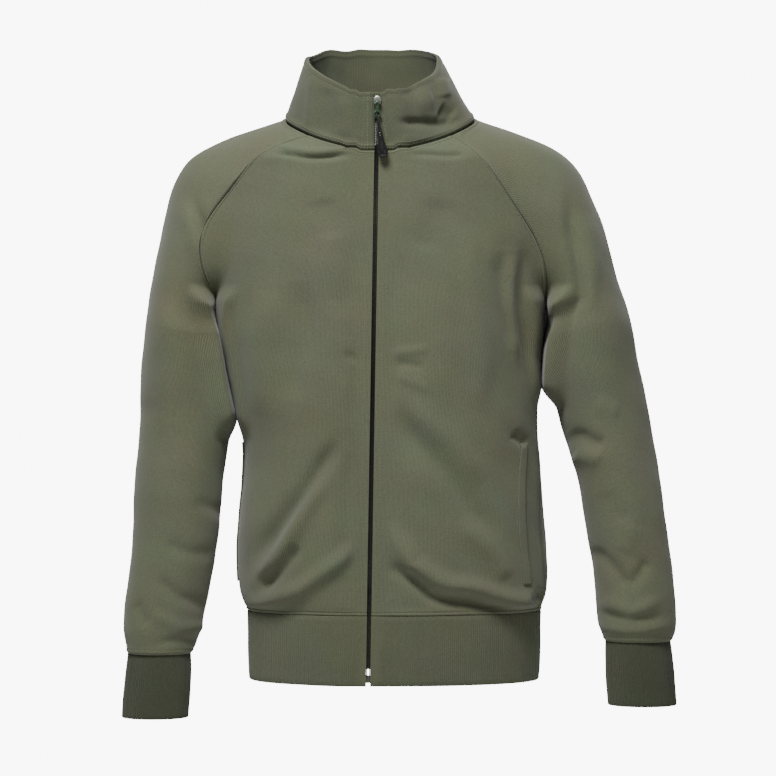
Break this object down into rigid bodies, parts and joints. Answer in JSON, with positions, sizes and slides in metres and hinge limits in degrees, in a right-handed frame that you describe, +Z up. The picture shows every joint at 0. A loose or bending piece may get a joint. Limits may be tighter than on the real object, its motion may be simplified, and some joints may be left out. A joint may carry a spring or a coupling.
{
  "type": "zip-through sweat jacket",
  "caption": "Olive raglan-sleeve sweat jacket with stand collar, full-length front zip, side welt pockets, ribbed cuffs and ribbed waistband.",
  "frame": {"origin": "middle of the neck opening at the height of the neck-to-shoulder points", "axes": "+X to the viewer's right of the worn jacket seen from the front, +Y from the front to the back, +Z up"},
  "size_m": [0.659, 0.2528, 0.8004],
  "materials": {
    "fleece": "matt olive-green knitted fleece",
    "fleece_inside": "matt brushed back of the fleece",
    "rib_knit": "matt vertical rib knit",
    "woven_tape": "woven tape",
    "zip_teeth": "black moulded teeth",
    "zip_metal": "satin metal",
    "tab_metal": "olive-green painted metal",
    "cord": "black braided cord",
    "tip_rubber": "glossy black moulded grip",
    "label": "blank pale satin label"
  },
  "bodies": {
    "jacket": {"front_left": "fleece", "front_right": "fleece", "back_panel": "fleece", "sleeve_left": "fleece", "sleeve_right": "fleece", "collar_outer": "fleece", "pocket_welt_left": "fleece", "pocket_welt_right": "fleece", "collar_inner": "fleece_inside", "pocket_bag_left": "fleece_inside", "pocket_bag_right": "fleece_inside", "zip_facing_left": "fleece_inside", "zip_facing_right": "fleece_inside", "waistband": "rib_knit", "cuff_left": "rib_knit", "cuff_right": "rib_knit", "zip_tape_left": "woven_tape", "zip_tape_right": "woven_tape", "neck_tape": "woven_tape", "hanger_loop": "woven_tape", "teeth_left": "zip_teeth", "teeth_right": "zip_teeth", "top_stop_left": "zip_metal", "top_stop_right": "zip_metal", "retaining_box": "zip_metal", "insertion_pin": "zip_metal", "care_label": "label"},
    "slider": {"slider_body": "zip_metal", "slider_back_plate": "zip_metal"},
    "tab": {"pull_tab": "tab_metal"},
    "puller": {"puller_cord": "cord", "puller_tip": "tip_rubber"}
  },
  "joints": [
    {"name": "zip_slide", "type": "slide", "parent": "jacket", "child": "slider", "axis": [-0.0159, -0.0489, -0.9987], "range_m": [0, 0.666]},
    {"name": "tab_swing", "type": "hinge", "parent": "slider", "child": "tab", "pos_m": [-0.00289, -0.09537, 0.01277], "axis": [-0.9999, 0, 0.0159], "range_deg": [0, 120]},
    {"name": "cord_swing", "type": "hinge", "parent": "tab", "child": "puller", "pos_m": [-0.00316, -0.0962, -0.00406], "axis": [-0.9866, -0.0088, -0.1632], "range_deg": [0, 55]}
  ]
}
